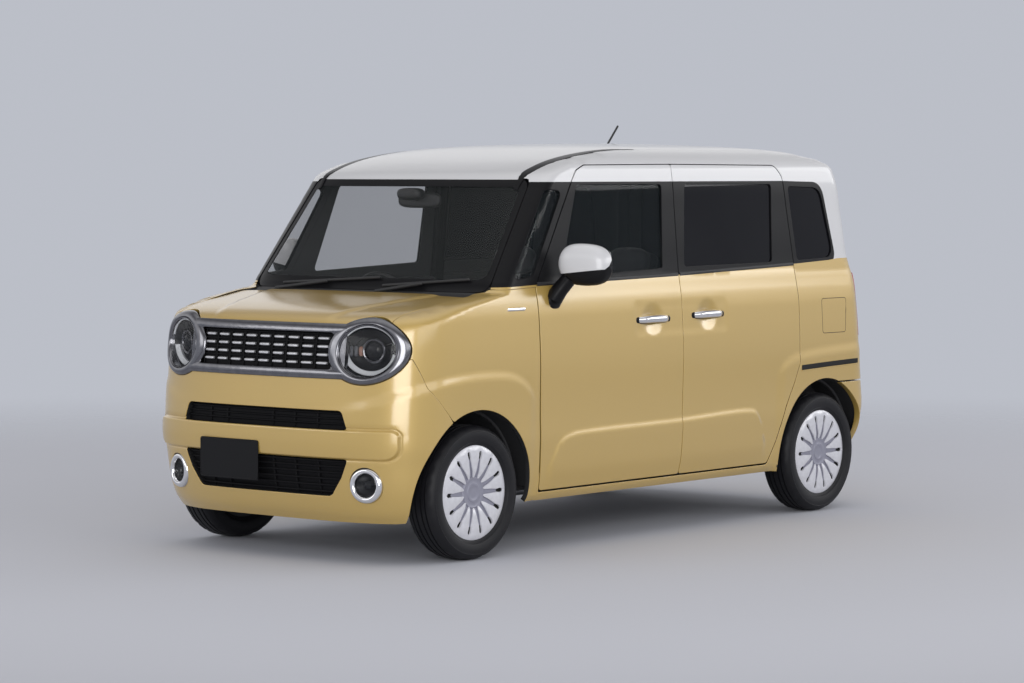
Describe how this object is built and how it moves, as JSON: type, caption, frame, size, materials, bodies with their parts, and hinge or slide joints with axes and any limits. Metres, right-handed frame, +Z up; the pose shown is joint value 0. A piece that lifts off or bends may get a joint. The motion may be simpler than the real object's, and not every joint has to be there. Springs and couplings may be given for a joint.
{
  "type": "kei car",
  "caption": "Tall boxy kei-class city car with round headlamps, two-tone body, hinged front doors, hood and tailgate, steered front wheels and rolling tyres.",
  "frame": {"origin": "on the ground in the middle of the bounding box", "axes": "+Z up, the front of the car faces -Y, the car's left side is +X"},
  "size_m": [1.8964, 3.395, 1.7899],
  "materials": {
    "paint_gold": "gloss metallic",
    "paint_white": "gloss",
    "black_trim": "satin",
    "under_metal": "satin",
    "clear_glass": "clear",
    "tinted_glass": "tinted",
    "chrome": "polished",
    "lamp": "clear",
    "red_lamp": "gloss",
    "seat_cloth": "woven",
    "dash_plastic": "grained",
    "steel": "satin",
    "cast_metal": "cast",
    "cover_white": "gloss",
    "tyre_rubber": "matte",
    "engine_metal": "cast"
  },
  "bodies": {
    "body": {"floor_pan": "under_metal", "wheel_liners": "black_trim", "side_frames": "paint_gold", "roof_panel": "paint_white", "cowl": "black_trim", "fenders": "paint_gold", "front_bumper": "paint_gold", "rear_bumper": "paint_gold", "rear_doors": "paint_gold", "windshield": "clear_glass", "fixed_side_glass": "tinted_glass", "grille": "black_trim", "headlamps": "lamp", "fog_lamps": "chrome", "tail_lamps": "red_lamp", "wipers": "black_trim", "antenna": "black_trim", "number_plate": "black_trim", "front_seats": "seat_cloth", "rear_seat": "seat_cloth", "dashboard": "dash_plastic", "front_suspension": "steel", "rear_axle": "steel", "engine": "engine_metal", "exhaust": "steel", "fuel_tank": "black_trim"},
    "hood_lid": {"hood": "paint_gold"},
    "tailgate_lid": {"tailgate": "paint_gold", "tailgate_glass": "tinted_glass"},
    "door_left": {"front_door_left": "paint_gold", "front_glass_left": "clear_glass", "mirror_left": "paint_white"},
    "door_right": {"front_door_right": "paint_gold", "front_glass_right": "clear_glass", "mirror_right": "paint_white"},
    "steer_left": {"knuckle_left": "cast_metal"},
    "steer_right": {"knuckle_right": "cast_metal"},
    "hand_wheel": {"steering_wheel": "dash_plastic"},
    "wheel_fl": {"tyre_fl": "tyre_rubber", "rim_fl": "cover_white"},
    "wheel_fr": {"tyre_fr": "tyre_rubber", "rim_fr": "cover_white"},
    "wheel_rl": {"tyre_rl": "tyre_rubber", "rim_rl": "cover_white"},
    "wheel_rr": {"tyre_rr": "tyre_rubber", "rim_rr": "cover_white"}
  },
  "joints": [
    {"name": "hood_hinge", "type": "hinge", "parent": "body", "child": "hood_lid", "pos_m": [0, -1.108, 1.05], "axis": [-1, 0, 0], "range_deg": [0, 60]},
    {"name": "tailgate_hinge", "type": "hinge", "parent": "body", "child": "tailgate_lid", "pos_m": [0, 1.42, 1.575], "axis": [1, 0, 0], "range_deg": [0, 85]},
    {"name": "door_left_hinge", "type": "hinge", "parent": "body", "child": "door_left", "pos_m": [0.708, -0.712, 0.69], "axis": [0, 0, -1], "range_deg": [0, 70]},
    {"name": "door_right_hinge", "type": "hinge", "parent": "body", "child": "door_right", "pos_m": [-0.708, -0.712, 0.69], "axis": [0, 0, 1], "range_deg": [0, 70]},
    {"name": "steer_left_pivot", "type": "hinge", "parent": "body", "child": "steer_left", "pos_m": [0.6, -1.1825, 0.274], "axis": [0, 0, 1], "range_deg": [-35, 35]},
    {"name": "steer_right_pivot", "type": "hinge", "parent": "body", "child": "steer_right", "pos_m": [-0.6, -1.1825, 0.274], "axis": [0, 0, 1], "range_deg": [-35, 35]},
    {"name": "steering_wheel_turn", "type": "hinge", "parent": "body", "child": "hand_wheel", "pos_m": [-0.33, -0.52, 0.96], "axis": [0, 0.8829, 0.4695], "range_deg": [-490, 490]},
    {"name": "wheel_fl_spin", "type": "hinge", "parent": "steer_left", "child": "wheel_fl", "pos_m": [0.647, -1.1825, 0.274], "axis": [1, 0, 0], "continuous": true},
    {"name": "wheel_fr_spin", "type": "hinge", "parent": "steer_right", "child": "wheel_fr", "pos_m": [-0.647, -1.1825, 0.274], "axis": [1, 0, 0], "continuous": true},
    {"name": "wheel_rl_spin", "type": "hinge", "parent": "body", "child": "wheel_rl", "pos_m": [0.647, 1.2775, 0.274], "axis": [1, 0, 0], "continuous": true},
    {"name": "wheel_rr_spin", "type": "hinge", "parent": "body", "child": "wheel_rr", "pos_m": [-0.647, 1.2775, 0.274], "axis": [1, 0, 0], "continuous": true}
  ],
  "couplings": [
    {"joint": "steer_right_pivot", "follows": "steer_left_pivot", "ratio": 1},
    {"joint": "steering_wheel_turn", "follows": "steer_left_pivot", "ratio": 14}
  ]
}
